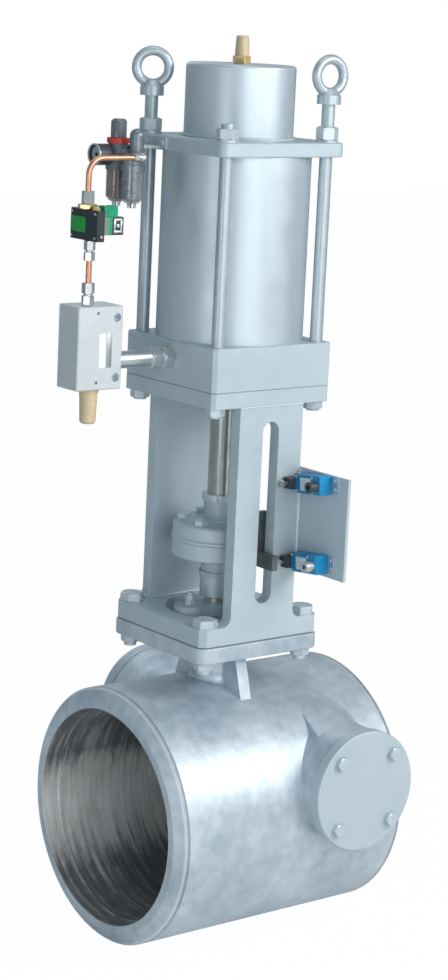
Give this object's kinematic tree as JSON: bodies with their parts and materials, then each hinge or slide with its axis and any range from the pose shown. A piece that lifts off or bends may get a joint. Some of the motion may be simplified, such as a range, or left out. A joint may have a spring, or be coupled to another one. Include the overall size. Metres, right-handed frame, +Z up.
{
  "type": "power-assisted non-return valve",
  "caption": "Straight weld-end non-return valve with a tilting disc on a cross shaft, a yoke-mounted spring-closing air cylinder, roller limit switches, a solenoid valve and an air set.",
  "frame": {"origin": "centre of the downstream (outlet) weld-end face, on the pipe's axis", "axes": "+X along the pipe towards the inlet, +Z up along the stem, +Y across the pipe towards the longer shaft housing"},
  "size_m": [0.666, 0.731, 1.705],
  "materials": {
    "body_paint": "worn silver-blue paint, satin",
    "frame_paint": "smooth silver-blue paint, satin",
    "barrel_paint": "silver paint, satin",
    "rod_paint": "silver paint over turned steel",
    "painted_bolt": "silver-blue paint over forged hexagons",
    "seat_steel": "machined, lapped seat",
    "bright_steel": "turned",
    "polished_rod": "ground and polished",
    "cast_dark": "as cast",
    "spring_steel": "oiled",
    "bronze": "turned",
    "sintered_bronze": "sintered, matte",
    "nickel_brass": "nickel-plated",
    "copper": "drawn tube, lightly tarnished",
    "seal": "moulded",
    "gasket": "pressed fibre and graphite",
    "switch_blue": "moulded",
    "black_plastic": "moulded",
    "green_plastic": "moulded",
    "block_aluminium": "machined, bead-blasted",
    "dark_casting": "die cast, painted",
    "pointer": "painted",
    "clear_bowl": "clear, slightly smoked"
  },
  "bodies": {
    "valve_frame": {"valve_body": "body_paint", "disc_seat": "seat_steel", "side_covers": "body_paint", "flange_gaskets": "gasket", "cover_bolts": "painted_bolt", "shaft_bushes": "bronze", "stem_packing": "gasket", "gland_flange": "body_paint", "gland_studs": "painted_bolt", "yoke_frame": "frame_paint", "base_bolts": "painted_bolt", "lower_head": "frame_paint", "rod_bush": "bronze", "actuator_seals": "seal", "cylinder_barrel": "barrel_paint", "top_plate": "frame_paint", "spring_canister": "barrel_paint", "tie_rods": "rod_paint", "tie_rod_nuts": "painted_bolt", "lifting_eye_nuts": "rod_paint", "closing_spring": "spring_steel", "silencers": "sintered_bronze", "switch_plate": "frame_paint", "lower_switch": "switch_blue", "upper_switch": "switch_blue", "exhaust_block": "block_aluminium", "pipe_union": "bright_steel", "copper_tubes": "copper", "tube_fittings": "nickel_brass", "solenoid_valve": "black_plastic", "pilot_coil": "green_plastic", "air_set_bracket": "frame_paint", "regulator": "dark_casting", "pressure_gauge": "black_plastic", "lubricator": "dark_casting", "air_bowls": "clear_bowl", "filter_element": "sintered_bronze"},
    "stem_train": {"valve_stem": "bright_steel", "stem_pin": "bright_steel", "coupling_lower": "frame_paint", "coupling_upper": "frame_paint", "coupling_bolts": "painted_bolt", "rod_nuts": "painted_bolt", "striker": "frame_paint", "piston_rod": "polished_rod", "piston": "cast_dark", "piston_seals": "seal"},
    "disc_train": {"hinge_shaft": "bright_steel", "tilting_disc": "seat_steel", "balance_weight": "cast_dark", "crank_arm": "cast_dark"},
    "upper_roller": {"upper_roller": "bright_steel"},
    "lower_roller": {"lower_roller": "bright_steel"},
    "regulator_knob": {"regulator_knob": "black_plastic"},
    "gauge_pointer": {"gauge_pointer": "pointer"},
    "manual_button": {"manual_button": "bright_steel"},
    "exhaust_poppet": {"exhaust_poppet": "seal"},
    "filter_drain": {"filter_drain": "black_plastic"},
    "lubricator_drain": {"lubricator_drain": "black_plastic"}
  },
  "joints": [
    {"name": "stem_lift", "type": "slide", "parent": "valve_frame", "child": "stem_train", "axis": [0, 0, 1], "range_m": [0, 0.15], "stiffness_N_per_m": 6000, "springref_m": -0.1, "deforming": ["closing_spring"]},
    {"name": "disc_swing", "type": "hinge", "parent": "valve_frame", "child": "disc_train", "pos_m": [0.403, 0, 0.067], "axis": [0, 1, 0], "range_deg": [0, 51.74]},
    {"name": "lower_roller_press", "type": "slide", "parent": "valve_frame", "child": "lower_roller", "axis": [1, 0, 0], "range_m": [0, 0.005], "stiffness_N_per_m": 1500, "springref_m": -0.002},
    {"name": "upper_roller_press", "type": "slide", "parent": "valve_frame", "child": "upper_roller", "axis": [1, 0, 0], "range_m": [0, 0.005], "stiffness_N_per_m": 1500, "springref_m": -0.002},
    {"name": "knob_turn", "type": "hinge", "parent": "valve_frame", "child": "regulator_knob", "pos_m": [0.033, 0.078, 1.2775], "axis": [0, 0, 1], "continuous": true},
    {"name": "pointer_turn", "type": "hinge", "parent": "valve_frame", "child": "gauge_pointer", "pos_m": [-0.013, 0.078, 1.2375], "axis": [-1, 0, 0], "range_deg": [0, 270], "stiffness_Nm_per_rad": 0.0005, "springref_deg": -11.46},
    {"name": "override_press", "type": "slide", "parent": "valve_frame", "child": "manual_button", "axis": [0, 1, 0], "range_m": [0, 0.002], "stiffness_N_per_m": 1500, "springref_m": -0.001},
    {"name": "poppet_lift", "type": "slide", "parent": "valve_frame", "child": "exhaust_poppet", "axis": [0, 0, 1], "range_m": [0, 0.005]},
    {"name": "filter_drain_turn", "type": "hinge", "parent": "valve_frame", "child": "filter_drain", "pos_m": [0.033, 0.078, 1.1495], "axis": [0, 0, 1], "range_deg": [0, 180]},
    {"name": "lubricator_drain_turn", "type": "hinge", "parent": "valve_frame", "child": "lubricator_drain", "pos_m": [0.033, 0.03, 1.1495], "axis": [0, 0, 1], "range_deg": [0, 180]}
  ],
  "couplings": [
    {"joint": "disc_swing", "follows": "stem_lift", "rad_per_m": 6.0088}
  ]
}
